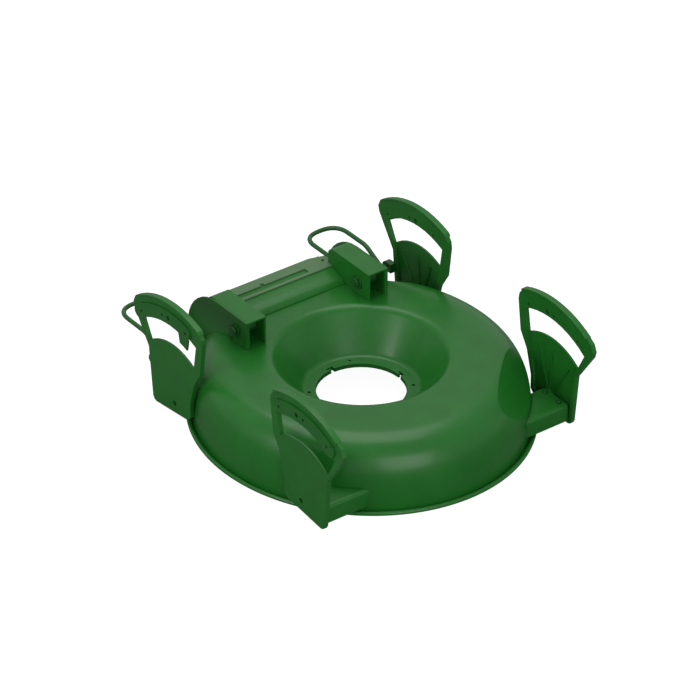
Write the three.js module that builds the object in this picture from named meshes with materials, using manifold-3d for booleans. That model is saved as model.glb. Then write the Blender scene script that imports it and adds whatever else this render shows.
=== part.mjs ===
// Cutter deck of a walk-behind rotary mower: a pressed ring-shaped shell with a rolled rim,
// a rear cross box with two handle channels, four height sectors on stand-off arms and two
// wire lift bails. Millimetres, +Z up, -Y is the direction of travel, X across the deck.
import * as THREE from 'three';
import { mergeVertices } from 'three/addons/utils/BufferGeometryUtils.js';
import Module from 'manifold-3d';

const wasm = await Module();
wasm.setup();

// ---- Clearances ----
const GAP = 0.3;            // between pieces that rest on each other
const BOLT_PLAY = 0.5;      // radial, round a bolt or a wire end

// ---- Shell ----
const RIM_RADIUS = 280;     // half width over the rolled rim
const RIM_LENGTHENING = 1.068;  // rim length over rim width
const HOOP_RADIUS = 3.8;    // section of the rolled rim
const LIP = 2.1;            // turned-out foot between flank and rim
const SHEET = 3;
const CROWN_RADIUS = 196;
const CROWN_HEIGHT = 118;
const FLANK_FOOT = 9;       // height where the flank starts to curve in
const FLANK_FULLNESS = 2.9; // superellipse power, 2 is an ellipse
const BOWL_RADIUS = 97;     // floor meets the wall
const BOWL_MOUTH = 144;     // wall meets the crown
const BOWL_FLOOR = 50;
const BOWL_CORNER = 5;      // rounding at the floor, along the wall
const BOWL_LIP = 8;         // rounding at the mouth, along the wall
const BORE_RADIUS = 74;     // engine opening
const PANEL_AZIMUTHS = [-45, 45];   // degrees from +X, flat panels across the shoulder
const PANEL_TILT = 38.7;    // degrees, a panel's normal above level
const PANEL_SHARE = 0.734;  // panel's place from the shoulder's inner corner to its outer one
const SHELL_TURNS = 64;     // faces round the shell

// ---- Engine seat ----
const SEAT_HOLE_CIRCLE = 85.5;
const SEAT_HOLE_RADIUS = 3;
const NOTCH_ANGLES = [92, -4, 272, 176];
const HOLE_FROM_NOTCH = -25.5;
const NOTCH_DEPTH = 7;
const NOTCH_WIDTH = 7;
const NOTCH_TAIL = 6;
const SEAT_RING_WIDTH = 15;
const SEAT_RING_THICKNESS = 3.7;

// ---- Rear cross box ----
const BOX_RISE = 18;        // top of the box over the crown
const BOX_SETBACK = 30;     // box rear wall to the flank at the back
const BOX_TOP_DEPTH = 40;
const SLOPE_DEPTH = 33;
const SLOPE_DROP = 10;
const COVER_THICKNESS = 2;
const COVER_EAR = 8;        // cover reach beyond the box ends, behind the channels
const COVER_CHAMFER = 28;
const COVER_HOLE_RADIUS = 3.5;
const COVER_HOLE_X = [-25, 100];
const COVER_HOLE_SETBACK = 19;
const SLOT_FROM = -92;
const SLOT_TO = 60;
const SLOT_WIDTH = 12;
const SLOT_SETBACK = 6.5;   // slot behind the ridge

// ---- Handle channels ----
const CHANNEL_INNER_X = 104;
const CHANNEL_WIDTH = 36;
const CHANNEL_LEAD = 99.5;  // channel's front end ahead of the ridge
const CHANNEL_REACH = 13;   // rear end behind the ridge
const CHANNEL_RISE = 32;    // top of the channel over the box
const CHANNEL_WALL = 3;
const CHANNEL_NOSE = 14;    // rounding of the rear top edge
const LOBE_RADIUS = 83;     // side plate's rear edge
const LOBE_REACH = 67;      // rearmost point of that edge behind the ridge
const SIDE_PLATE_DROP = 66; // lower edge below the cross box top
const PIVOT_FROM_FRONT = 31;
const PIVOT_BELOW_TOP = 28;
const PIVOT_BOLT_RADIUS = 5;
const WASHER_RADIUS = 12.5;
const WASHER_THICKNESS = 2;
const HEAD_RADIUS = 9;
const HEAD_THICKNESS = 5;
const SPACER_RADIUS = 9;
const FOOT_BOLT_FROM_FRONT = 43;
const FOOT_BOLT_BELOW_TOP = 43;
const FOOT_BOLT_RADIUS = 3;

// ---- Height sectors ----
const FRONT_SETBACK = 121;  // front sector pivots behind the foremost rim
const REAR_SETBACK = 131;   // rear sector pivots ahead of the rearmost rim
const PIVOT_HEIGHT = 32.5;
const PIVOT_HOLE_RADIUS = 4.6;
const SECTOR_THICKNESS = 8;
const SECTOR_CLEARANCE = 1; // from the flank
const WEB = 3;              // plate that closes the sector below its window
const FRAME = 6;            // edge round the web
const SECTOR_RADIUS = 187;  // outer arc about the pivot hole
const BAND_DEPTH = 34;      // outer arc to the window
const WEB_RADIUS = 111;     // top of the web, lower edge of the window
const BODY_BACK = 44;       // body reach towards the middle of the deck
const BODY_FRONT = 62;
const BODY_BELOW = 24;
const BODY_LEAN = 9;        // neck beyond the foot of the front edge
const NECK_HEIGHT = 74;
const BAND_BACK = 81;
const BAND_FRONT = 112;
const POST = 18;            // width of the post at the band's inner end
const RIB_ANGLES = [-18, 4, 33];
const RIB = 1.8;
const RIB_DEPTH = 2.2;
const RIB_LENGTH = 92;
const HUB_RADIUS = 13;
const CAP_THICKNESS = 3.5;
const CAP_OVERHANG = 1.5;
const CAP_FROM = -24;       // degrees about the pivot hole
const CAP_TO = 31;
const PLATE_THICKNESS = 3;
const PLATE_INNER = 149;
const PLATE_OUTER = 173;
const INDEX_RADIUS = 160;
const INDEX_ANGLES = [-19.5, -2.1, 4, 26.7];
const INDEX_LARGE = 1;
const INDEX_HOLE_RADIUS = 2.6;
const INDEX_LARGE_RADIUS = 4.2;
const PLATE_LOBE = 12;
const REAR_PLATE_TURN = 5.6;
const TAB_DEPTH = 17;       // stop tab on the rear left index plate

// ---- Stand-off arms ----
const ARM_BACK = 8;
const ARM_FRONT = 55;
const ARM_LOW = 14;
const ARM_HIGH = 46;
const ARM_ROUND = 7;
const ARM_SCREWS = [4, 40];
const SCREW_RADIUS = 5;
const SCREW_HEIGHT = 3.5;
const SCREW_INSET = 9;

// ---- Lift bails ----
const WIRE_RADIUS = 4;
const BAIL_INNER_X = 155;
const BAIL_AXIS_SETBACK = 44;   // hinge axis ahead of the flank at the back
const BAIL_AXIS_HEIGHT = 75;
const BAIL_RISE = 22;
const BAIL_REACH = 127;     // bail end behind the hinge axis
const BAIL_KNEE = 44;
const WIRE_BEND = 8;
const EYE_LENGTH = 11.1;    // across the deck, bail to sector
const EYE_BACK = 14;
const EYE_HEIGHT = 17;

// ---- Values that follow ----
const halfLength = RIM_RADIUS * RIM_LENGTHENING;
const flankRadius = RIM_RADIUS - 2 * HOOP_RADIUS - GAP - LIP;
const flankRear = flankRadius * RIM_LENGTHENING;
const boxTop = CROWN_HEIGHT + BOX_RISE;
const boxRear = flankRear - BOX_SETBACK;
const ridge = boxRear - BOX_TOP_DEPTH;
const channelFront = ridge - CHANNEL_LEAD;
const channelRear = ridge + CHANNEL_REACH;
const channelTop = boxTop + CHANNEL_RISE;
const channelOuterX = CHANNEL_INNER_X + CHANNEL_WIDTH;
const sidePlateInnerX = channelOuterX + GAP;
const sidePlateOuterX = sidePlateInnerX + CHANNEL_WALL;
const pivotY = channelFront + PIVOT_FROM_FRONT;
const pivotZ = channelTop - PIVOT_BELOW_TOP;
const washerOuterX = sidePlateOuterX + GAP;
const washerInnerX = CHANNEL_INNER_X - GAP - WASHER_THICKNESS;
const headX = washerOuterX + WASHER_THICKNESS + GAP;
const nutX = washerInnerX - GAP - HEAD_THICKNESS;
const footBoltY = channelFront + FOOT_BOLT_FROM_FRONT;
const footBoltZ = channelTop - FOOT_BOLT_BELOW_TOP;
const frontPivotY = FRONT_SETBACK - halfLength;
const rearPivotY = halfLength - REAR_SETBACK;
const bailAxisY = flankRear - BAIL_AXIS_SETBACK;
const bailRear = bailAxisY + BAIL_REACH;
const windowRadius = SECTOR_RADIUS - BAND_DEPTH;
const deckAxisY = (halfLength - bailRear - WIRE_RADIUS) / 2;
const green = [0.055, 0.27, 0.07];

// ---- Helpers ----
const radians = THREE.MathUtils.degToRad;

/** Rim lengthening at a radius: none at the bowl, full at the rim, smooth between. */
function lengthening(radius) {
  const share = THREE.MathUtils.smoothstep(radius, BOWL_RADIUS, RIM_RADIUS);
  return 1 + (RIM_LENGTHENING - 1) * share;
}

/** Turns a closed geometry into a solid, with shared vertices and outward faces. */
function toSolid(geometry) {
  const bare = geometry.clone();
  bare.deleteAttribute('normal');
  bare.deleteAttribute('uv');
  const merged = mergeVertices(bare, 1e-4);
  const points = merged.attributes.position.array;
  const corners = Array.from(merged.index.array);
  const faces = [];
  let volume = 0;
  for (let i = 0; i < corners.length; i += 3) {
    const [a, b, c] = corners.slice(i, i + 3);
    if (a === b || b === c || c === a) continue;
    faces.push([a, b, c]);
    const [p, q, r] = [a, b, c].map((k) => new THREE.Vector3().fromArray(points, 3 * k));
    volume += p.dot(q.cross(r));
  }
  const order = volume < 0 ? faces.map(([a, b, c]) => [a, c, b]) : faces;
  const mesh = new wasm.Mesh({
    numProp: 3,
    vertProperties: new Float32Array(points),
    triVerts: new Uint32Array(order.flat()),
  });
  return new wasm.Manifold(mesh);
}

/** Turns a solid back into a geometry. */
function toGeometry(solid) {
  const mesh = solid.getMesh();
  const geometry = new THREE.BufferGeometry();
  geometry.setAttribute('position', new THREE.BufferAttribute(mesh.vertProperties, 3));
  geometry.setIndex(new THREE.BufferAttribute(mesh.triVerts, 1));
  geometry.computeVertexNormals();
  return geometry;
}

/** Closed ring or disc turned from [radius, height] points, lengthened along Y if asked. */
function turned(points, turns, lengthened = false) {
  const profile = points.map(([r, z]) => new THREE.Vector2(r, z));
  const geometry = new THREE.LatheGeometry(profile, turns);
  geometry.rotateX(Math.PI / 2);
  if (lengthened) {
    const places = geometry.attributes.position;
    for (let i = 0; i < places.count; i += 1) {
      const radius = Math.hypot(places.getX(i), places.getY(i));
      places.setY(i, places.getY(i) * lengthening(radius));
    }
  }
  return toSolid(geometry);
}

/** Upright slab: an outline of [y, z] points, or a Shape, pushed along X from x0 to x1. */
function slabAcross(outline, x0, x1, curveSegments = 12) {
  const shape = Array.isArray(outline)
    ? new THREE.Shape(outline.map(([y, z]) => new THREE.Vector2(y, z)))
    : outline;
  const geometry = new THREE.ExtrudeGeometry(shape, { depth: x1 - x0, bevelEnabled: false, curveSegments });
  const turn = new THREE.Matrix4().set(0, 0, 1, x0, 1, 0, 0, 0, 0, 1, 0, 0, 0, 0, 0, 1);
  geometry.applyMatrix4(turn);
  return toSolid(geometry);
}

/** Flat slab: an outline of [x, y] points pushed up from z0 to z1. */
function slabUp(outline, z0, z1) {
  const shape = new THREE.Shape(outline.map(([x, y]) => new THREE.Vector2(x, y)));
  const geometry = new THREE.ExtrudeGeometry(shape, { depth: z1 - z0, bevelEnabled: false });
  geometry.translate(0, 0, z0);
  return toSolid(geometry);
}

/** Block between two corners. */
function block(low, high) {
  const size = high.map((value, i) => value - low[i]);
  const geometry = new THREE.BoxGeometry(...size);
  geometry.translate(...low.map((value, i) => value + size[i] / 2));
  return toSolid(geometry);
}

/** Round bar along X from x0 to x1. */
function barAcross(x0, x1, y, z, radius, faces = 20) {
  const geometry = new THREE.CylinderGeometry(radius, radius, x1 - x0, faces);
  geometry.rotateZ(Math.PI / 2);
  geometry.translate((x0 + x1) / 2, y, z);
  return toSolid(geometry);
}

/** Round bar along Z from z0 to z1. */
function barUp(x, y, z0, z1, radius, faces = 16) {
  const geometry = new THREE.CylinderGeometry(radius, radius, z1 - z0, faces);
  geometry.rotateX(Math.PI / 2);
  geometry.translate(x, y, (z0 + z1) / 2);
  return toSolid(geometry);
}

/** Points on an arc, angles in degrees from +Z towards +Y, as [y, z]. */
function arcPoints(y, z, radius, from, to, steps) {
  return Array.from({ length: steps + 1 }, (_, i) => {
    const angle = radians(from + (to - from) * i / steps);
    return [y + radius * Math.sin(angle), z + radius * Math.cos(angle)];
  });
}

/** Points that round the corner between three places, starting a distance before it. */
function roundCorner(before, corner, after, distance, steps) {
  const [p, q, r] = [before, corner, after].map(([x, y]) => new THREE.Vector2(x, y));
  const start = q.clone().add(p.sub(q).setLength(distance));
  const end = q.clone().add(r.sub(q).setLength(distance));
  return new THREE.QuadraticBezierCurve(start, q, end).getPoints(steps).map((v) => [v.x, v.y]);
}

/** Moves each point of an open path sideways, to its left for a positive distance. */
function offsetPath(points, distance) {
  return points.map((point, i) => {
    const before = points[Math.max(i - 1, 0)];
    const after = points[Math.min(i + 1, points.length - 1)];
    const run = [after[0] - before[0], after[1] - before[1]];
    const length = Math.hypot(...run);
    return [point[0] - run[1] / length * distance, point[1] + run[0] / length * distance];
  });
}

// ---- Shell ----

/** Outer surface of the shell from the rim's lip, over the crown, to the bowl floor. */
function outerPath(flankSteps, bowlSteps) {
  const power = 2 / FLANK_FULLNESS;
  const flank = Array.from({ length: flankSteps + 1 }, (_, i) => {
    const t = Math.PI / 2 * i / flankSteps;
    return [
      CROWN_RADIUS + (flankRadius - CROWN_RADIUS) * Math.abs(Math.cos(t)) ** power,
      FLANK_FOOT + (CROWN_HEIGHT - FLANK_FOOT) * Math.sin(t) ** power,
    ];
  });
  const crown = [CROWN_RADIUS, CROWN_HEIGHT];
  const mouth = [BOWL_MOUTH, CROWN_HEIGHT];
  const floor = [BOWL_RADIUS, BOWL_FLOOR];
  const bore = [BORE_RADIUS, BOWL_FLOOR];
  return [
    ...flank,
    ...roundCorner(crown, mouth, floor, BOWL_LIP, bowlSteps),
    ...roundCorner(mouth, floor, bore, BOWL_CORNER, bowlSteps),
  ];
}

/** The space the shell fills with all that is under it, grown by the clearance. */
function envelope() {
  const path = offsetPath(outerPath(11, 4), -GAP);
  const low = -SHEET;
  const rimRadius = RIM_RADIUS + GAP;
  const rimTop = 2 * HOOP_RADIUS + GAP;
  const points = [[0, low], [rimRadius, low], [rimRadius, rimTop], [path[0][0], rimTop]];
  points.push(...path.slice(1), [0, BOWL_FLOOR + GAP]);
  return turned(points, SHELL_TURNS, true);
}

/** Hook-ended notch through the floor at an angle round the engine opening. */
function notch(angle) {
  const half = NOTCH_WIDTH / 2;
  const end = BORE_RADIUS + NOTCH_DEPTH;
  const low = BOWL_FLOOR - 3 * SHEET;
  const high = BOWL_FLOOR + SHEET;
  const slot = block([BORE_RADIUS - 4, -half, low], [end, half, high]);
  const tail = block([end - NOTCH_WIDTH / 2, -half, low], [end, half + NOTCH_TAIL, high]);
  return slot.add(tail).rotate([0, 0, angle]);
}

/** Small hole through the floor at an angle round the engine opening. */
function seatHole(angle) {
  const x = SEAT_HOLE_CIRCLE * Math.cos(radians(angle));
  const y = SEAT_HOLE_CIRCLE * Math.sin(radians(angle));
  return barUp(x, y, BOWL_FLOOR - 3 * SHEET, BOWL_FLOOR + SHEET, SEAT_HOLE_RADIUS, 12);
}

/** Cuts the notches and the holes of the engine seat. */
function cutSeat(solid) {
  let rest = solid;
  for (const angle of NOTCH_ANGLES) {
    rest = rest.subtract(notch(angle));
    rest = rest.subtract(seatHole(angle + HOLE_FROM_NOTCH));
  }
  return rest;
}

/** Direction that a shoulder panel faces. */
function panelNormal(azimuth) {
  const level = Math.cos(radians(PANEL_TILT));
  const [x, y] = [Math.cos(radians(azimuth)), Math.sin(radians(azimuth))];
  return new THREE.Vector3(x * level, y * level, Math.sin(radians(PANEL_TILT)));
}

/** Distance of a shoulder panel from the deck's axis at rim level, along its normal. */
function panelDistance() {
  const [level, up] = [Math.cos(radians(PANEL_TILT)), Math.sin(radians(PANEL_TILT))];
  const innerCorner = CROWN_RADIUS * level + FLANK_FOOT * up;
  const outerCorner = flankRadius * level + CROWN_HEIGHT * up;
  return THREE.MathUtils.lerp(innerCorner, outerCorner, PANEL_SHARE);
}

function deckShell() {
  const outer = outerPath(11, 4);
  const inner = offsetPath(outerPath(8, 3), SHEET);
  const lipRadius = flankRadius + LIP;
  const boreTop = [BORE_RADIUS, BOWL_FLOOR];
  const boreLow = [BORE_RADIUS, BOWL_FLOOR - SHEET];
  const innerWall = inner.slice(1).reverse();
  const footOut = [[lipRadius, 0], [lipRadius, SHEET], [flankRadius, SHEET]];
  const footIn = [[flankRadius - SHEET, FLANK_FOOT], [flankRadius - SHEET, 0]];
  const loop = [...footOut, ...outer, boreTop, boreLow, ...innerWall, ...footIn, footOut[0]];
  const filled = turned([[0, 0], [flankRadius, 0], ...outer, [0, BOWL_FLOOR]], SHELL_TURNS, true);
  const distance = panelDistance();
  let solid = turned(loop, SHELL_TURNS, true);
  for (const azimuth of PANEL_AZIMUTHS) {
    const inward = panelNormal(azimuth).negate().toArray();
    const panel = filled.trimByPlane(inward, -distance).subtract(filled.trimByPlane(inward, SHEET - distance));
    solid = solid.trimByPlane(inward, -distance).add(panel);
  }
  return cutSeat(solid);
}

function rimHoop() {
  const centre = RIM_RADIUS - HOOP_RADIUS;
  const section = Array.from({ length: 9 }, (_, i) => {
    const angle = radians(45 * (i % 8));
    return [centre + HOOP_RADIUS * Math.cos(angle), HOOP_RADIUS * (1 - Math.sin(angle))];
  });
  return turned(section, SHELL_TURNS, true);
}

function seatRing() {
  const top = BOWL_FLOOR - SHEET - GAP;
  const low = top - SEAT_RING_THICKNESS;
  const outer = BORE_RADIUS + SEAT_RING_WIDTH;
  const loop = [[BORE_RADIUS, low], [outer, low], [outer, top], [BORE_RADIUS, top], [BORE_RADIUS, low]];
  return cutSeat(turned(loop, 40));
}

// ---- Rear box ----

/** Outline of the cross box, as [y, z]. */
function boxOutline(inset) {
  const front = ridge - SLOPE_DEPTH + inset;
  const top = boxTop - inset;
  const slopeFoot = boxTop - SLOPE_DROP - inset;
  const round = 7;
  return [
    [front, BOWL_FLOOR],
    [front, slopeFoot - round],
    [front + round * 0.3, slopeFoot - round * 0.3],
    [front + round, slopeFoot + round * SLOPE_DROP / SLOPE_DEPTH],
    [ridge, top],
    [boxRear - inset, top],
    [boxRear - inset, BOWL_FLOOR],
  ];
}

function crossBox(shell) {
  const half = CHANNEL_INNER_X - GAP;
  const outside = slabAcross(boxOutline(0), -half, half);
  const inside = slabAcross(boxOutline(SHEET), SHEET - half, half - SHEET);
  return outside.subtract(inside).subtract(shell);
}

function coverPlate() {
  const half = CHANNEL_INNER_X - GAP;
  const wide = half + COVER_EAR;
  const low = boxTop + GAP;
  const notchY = channelRear + GAP;
  const chamferY = boxRear - COVER_CHAMFER * 0.3;
  const right = [[half, ridge], [half, notchY], [wide, notchY], [wide, chamferY], [wide - COVER_CHAMFER, boxRear]];
  const left = right.map(([x, y]) => [-x, y]).reverse();
  let plate = slabUp([...right, ...left], low, low + COVER_THICKNESS);
  const slotFront = ridge + SLOT_SETBACK;
  plate = plate.subtract(block([SLOT_FROM, slotFront, low - 1], [SLOT_TO, slotFront + SLOT_WIDTH, low + 5]));
  for (const x of COVER_HOLE_X) {
    plate = plate.subtract(barUp(x, boxRear - COVER_HOLE_SETBACK, low - 1, low + 5, COVER_HOLE_RADIUS));
  }
  return plate;
}

/** Outline of a handle channel with its rounded rear top edge. */
function channelOutline(inset, over) {
  const top = channelTop - inset;
  const nose = arcPoints(channelRear - CHANNEL_NOSE, channelTop - CHANNEL_NOSE, CHANNEL_NOSE - inset, 0, 70, 4);
  const last = nose[nose.length - 1];
  const rear = over ? channelRear + over : last[0];
  return [
    [channelFront - over, BOWL_FLOOR],
    [channelFront - over, top],
    ...nose,
    [rear, last[1] - 2],
    [rear, BOWL_FLOOR],
  ];
}

function handleChannel(shell) {
  const x0 = CHANNEL_INNER_X;
  const x1 = channelOuterX;
  const outside = slabAcross(channelOutline(0, 0), x0, x1);
  const inside = slabAcross(channelOutline(CHANNEL_WALL, 5), x0 + CHANNEL_WALL, x1 - CHANNEL_WALL);
  const bolt = barAcross(x0 - 9, x1 + 9, pivotY, pivotZ, PIVOT_BOLT_RADIUS + BOLT_PLAY);
  const foot = barAcross(x1 - 9, x1 + 9, footBoltY, footBoltZ, FOOT_BOLT_RADIUS + BOLT_PLAY, 14);
  return outside.subtract(inside).subtract(shell).subtract(bolt).subtract(foot);
}

function sidePlate(shell) {
  const centreY = ridge + LOBE_REACH - LOBE_RADIUS;
  const centreZ = channelTop - LOBE_RADIUS;
  const low = boxTop - SIDE_PLATE_DROP;
  const outline = [
    [channelFront, BOWL_FLOOR],
    [channelFront, channelTop],
    ...arcPoints(centreY, centreZ, LOBE_RADIUS, 0, 90, 9),
    [centreY + LOBE_RADIUS - 4, low],
    [bailAxisY - 18, low - 8],
    [bailAxisY - 30, BOWL_FLOOR],
  ];
  const x0 = sidePlateInnerX;
  const x1 = sidePlateOuterX;
  const bolt = barAcross(x0 - 9, x1 + 9, pivotY, pivotZ, PIVOT_BOLT_RADIUS + BOLT_PLAY);
  const foot = barAcross(x0 - 9, x1 + 9, footBoltY, footBoltZ, FOOT_BOLT_RADIUS + BOLT_PLAY, 14);
  const hinge = barAcross(x0 - 9, x1 + 9, bailAxisY, BAIL_AXIS_HEIGHT, WIRE_RADIUS + BOLT_PLAY);
  return slabAcross(outline, x0, x1).subtract(shell).subtract(bolt).subtract(foot).subtract(hinge);
}

function washer(x0) {
  const hole = barAcross(x0 - 1, x0 + 5, pivotY, pivotZ, PIVOT_BOLT_RADIUS + BOLT_PLAY);
  return barAcross(x0, x0 + WASHER_THICKNESS, pivotY, pivotZ, WASHER_RADIUS, 24).subtract(hole);
}

function pivotBolt() {
  const shank = barAcross(nutX - 2, headX + 1, pivotY, pivotZ, PIVOT_BOLT_RADIUS);
  return shank.add(barAcross(headX, headX + HEAD_THICKNESS, pivotY, pivotZ, HEAD_RADIUS, 6));
}

function pivotNut() {
  const hole = barAcross(nutX - 1, nutX + 9, pivotY, pivotZ, PIVOT_BOLT_RADIUS + GAP);
  return barAcross(nutX, nutX + HEAD_THICKNESS, pivotY, pivotZ, HEAD_RADIUS, 6).subtract(hole);
}

function pivotSpacer() {
  const x0 = CHANNEL_INNER_X + CHANNEL_WALL + GAP;
  const x1 = channelOuterX - CHANNEL_WALL - GAP;
  const hole = barAcross(x0 - 1, x1 + 1, pivotY, pivotZ, PIVOT_BOLT_RADIUS + BOLT_PLAY);
  return barAcross(x0, x1, pivotY, pivotZ, SPACER_RADIUS).subtract(hole);
}

function footBolt() {
  const inside = channelOuterX - CHANNEL_WALL - 2;
  const shank = barAcross(inside, washerOuterX + 1, footBoltY, footBoltZ, FOOT_BOLT_RADIUS, 14);
  return shank.add(barAcross(washerOuterX, washerOuterX + 3, footBoltY, footBoltZ, FOOT_BOLT_RADIUS * 1.8, 6));
}

// ---- Height sectors, drawn about their pivot hole: y runs away from the deck's middle ----

/** Distance from the deck's centre line to the flank, at a distance along the deck. */
function flankAt(y) {
  return flankRadius * Math.sqrt(1 - (y / flankRear) ** 2);
}

const sectorX = flankAt(rearPivotY - BODY_BACK) + SECTOR_CLEARANCE;
const sectorOuterX = sectorX + SECTOR_THICKNESS;
const eyeX = sectorX - GAP - EYE_LENGTH;
const bailOuterX = eyeX - GAP - WIRE_BEND;

/** Place on the arc of a radius about the pivot hole, at a distance along y. */
function onArc(radius, y) {
  return [y, Math.sqrt(radius ** 2 - y ** 2)];
}

/** Outer boundary of a sector. */
function sectorOutline() {
  const backAngle = -THREE.MathUtils.radToDeg(Math.asin((BAND_BACK - 14) / SECTOR_RADIUS));
  const frontAngle = THREE.MathUtils.radToDeg(Math.asin((BAND_FRONT - 6) / SECTOR_RADIUS));
  const endBack = onArc(SECTOR_RADIUS, BAND_BACK)[1];
  const endFront = onArc(SECTOR_RADIUS, BAND_FRONT)[1];
  const neck = BODY_FRONT + BODY_LEAN;
  return [
    [-BODY_BACK, 18 - BODY_BELOW],
    [8 - BODY_BACK, 10 - BODY_BELOW],
    [BODY_FRONT - 9, -BODY_BELOW],
    [BODY_FRONT - 3, 2 - BODY_BELOW],
    [BODY_FRONT, 8 - BODY_BELOW],
    [neck, NECK_HEIGHT],
    [BAND_FRONT - 3, endFront - 20],
    [BAND_FRONT, endFront - 9],
    ...arcPoints(0, 0, SECTOR_RADIUS, frontAngle, backAngle, 14),
    [3 - BAND_BACK, endBack - 8],
    [1 - BAND_BACK, endBack - 20],
    [8 - BAND_BACK, NECK_HEIGHT + 18],
    [-BODY_BACK - 12, NECK_HEIGHT - 10],
    [-BODY_BACK, NECK_HEIGHT - 54],
  ];
}

/** Boundary of the hollow inside the sector's frame: the window, and the dish over the web. */
function dishOutline() {
  const back = POST - BAND_BACK;
  const backAngle = THREE.MathUtils.radToDeg(Math.asin(back / windowRadius));
  const neck = BODY_FRONT + BODY_LEAN - FRAME;
  return [
    [FRAME - BODY_BACK, 22 - BODY_BELOW],
    [FRAME - BODY_BACK + 5, 17 - BODY_BELOW],
    [BODY_FRONT - FRAME - 6, FRAME + 1 - BODY_BELOW],
    [BODY_FRONT - FRAME - 1, FRAME + 6 - BODY_BELOW],
    [neck, NECK_HEIGHT + 2],
    [neck + 10, NECK_HEIGHT + 20],
    ...arcPoints(0, 0, windowRadius, 36, backAngle, 10),
    [back + 7, NECK_HEIGHT + 22],
    [FRAME - BODY_BACK - 11, NECK_HEIGHT - 6],
    [FRAME - BODY_BACK, NECK_HEIGHT - 50],
  ];
}

/** Hole on the index arc, across the thickness from x0 to x1. */
function indexHole(x0, x1, turn, i) {
  const angle = radians(INDEX_ANGLES[i] + turn);
  const radius = i === INDEX_LARGE ? INDEX_LARGE_RADIUS : INDEX_HOLE_RADIUS;
  return barAcross(x0, x1, INDEX_RADIUS * Math.sin(angle), INDEX_RADIUS * Math.cos(angle), radius, 10);
}

function heightSector(turn) {
  const x0 = sectorX;
  const x1 = sectorOuterX;
  const seat = SECTOR_RADIUS - CAP_THICKNESS;
  const outside = slabAcross(sectorOutline(), x0, x1);
  const web = barAcross(x1 - WEB, x1, 0, 0, WEB_RADIUS, 72).intersect(outside);
  let solid = outside.subtract(slabAcross(dishOutline(), x0 - 1, x1 + 1)).add(web);
  const capRoom = [
    ...arcPoints(0, 0, seat, CAP_FROM - 9, CAP_TO, 12),
    ...arcPoints(0, 0, SECTOR_RADIUS + 9, CAP_TO, CAP_FROM - 9, 12),
  ];
  solid = solid.subtract(slabAcross(capRoom, x0 - 1, x1 + 1));
  const ribX = x1 - WEB - RIB_DEPTH;
  for (const angle of RIB_ANGLES) {
    const rib = slabAcross([[-RIB / 2, 0], [RIB / 2, 0], [RIB / 4, RIB_LENGTH], [-RIB / 4, RIB_LENGTH]], ribX, x1 - 1);
    solid = solid.add(rib.rotate([-angle, 0, 0]));
  }
  solid = solid.add(barAcross(x0, x1, 0, 0, HUB_RADIUS, 24));
  solid = solid.subtract(barAcross(x0 - 1, x1 + 1, 0, 0, PIVOT_HOLE_RADIUS));
  INDEX_ANGLES.forEach((_, i) => {
    solid = solid.subtract(indexHole(x0 - 1, x1 + 1, turn, i));
  });
  return solid;
}

function sectorCap() {
  const low = SECTOR_RADIUS - CAP_THICKNESS + GAP;
  const play = THREE.MathUtils.radToDeg(GAP / SECTOR_RADIUS);
  const outline = [
    ...arcPoints(0, 0, low, CAP_FROM, CAP_TO - play, 12),
    ...arcPoints(0, 0, SECTOR_RADIUS, CAP_TO - play, CAP_FROM + 2, 12),
  ];
  return slabAcross(outline, sectorX - CAP_OVERHANG, sectorOuterX + CAP_OVERHANG);
}

function indexPlate(turn, tabbed) {
  const x0 = sectorOuterX + GAP;
  const x1 = x0 + PLATE_THICKNESS;
  const from = INDEX_ANGLES[0] + turn;
  const to = INDEX_ANGLES[INDEX_ANGLES.length - 1] + turn + 3;
  const band = [
    ...arcPoints(0, 0, PLATE_OUTER, from, to, 10),
    ...arcPoints(0, 0, PLATE_INNER, to, from, 10),
  ];
  let solid = slabAcross(band, x0, x1);
  for (const angle of [from, to]) {
    const y = (INDEX_RADIUS + 1) * Math.sin(radians(angle));
    const z = (INDEX_RADIUS + 1) * Math.cos(radians(angle));
    solid = solid.add(barAcross(x0, x1, y, z, PLATE_LOBE, 16));
  }
  if (tabbed) {
    const tab = [
      ...arcPoints(0, 0, PLATE_INNER + 3, from - 4, from + 7, 4),
      ...arcPoints(0, 0, PLATE_INNER - TAB_DEPTH, from + 4, from - 5, 4),
    ];
    solid = solid.add(slabAcross(tab, x0, x1));
  }
  INDEX_ANGLES.forEach((_, i) => {
    solid = solid.subtract(indexHole(x0 - 1, x1 + 1, turn, i));
  });
  return solid;
}

/** Box arm from the flank to the sector, rounded along its top edge away from the middle. */
function supportArm(shell, fromMiddle) {
  const low = ARM_LOW - PIVOT_HEIGHT;
  const high = ARM_HIGH - PIVOT_HEIGHT;
  const outline = [
    [-ARM_BACK, low],
    [ARM_FRONT, low],
    ...arcPoints(ARM_FRONT - ARM_ROUND, high - ARM_ROUND, ARM_ROUND, 90, 0, 4),
    [-ARM_BACK, high],
  ];
  return slabAcross(outline, 0, sectorX - GAP).subtract(shell.translate([0, -fromMiddle, -PIVOT_HEIGHT]));
}

function armScrew(y) {
  const high = ARM_HIGH - PIVOT_HEIGHT + GAP;
  return barUp(sectorX - SCREW_INSET, y, high, high + SCREW_HEIGHT, SCREW_RADIUS, 6);
}

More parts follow.
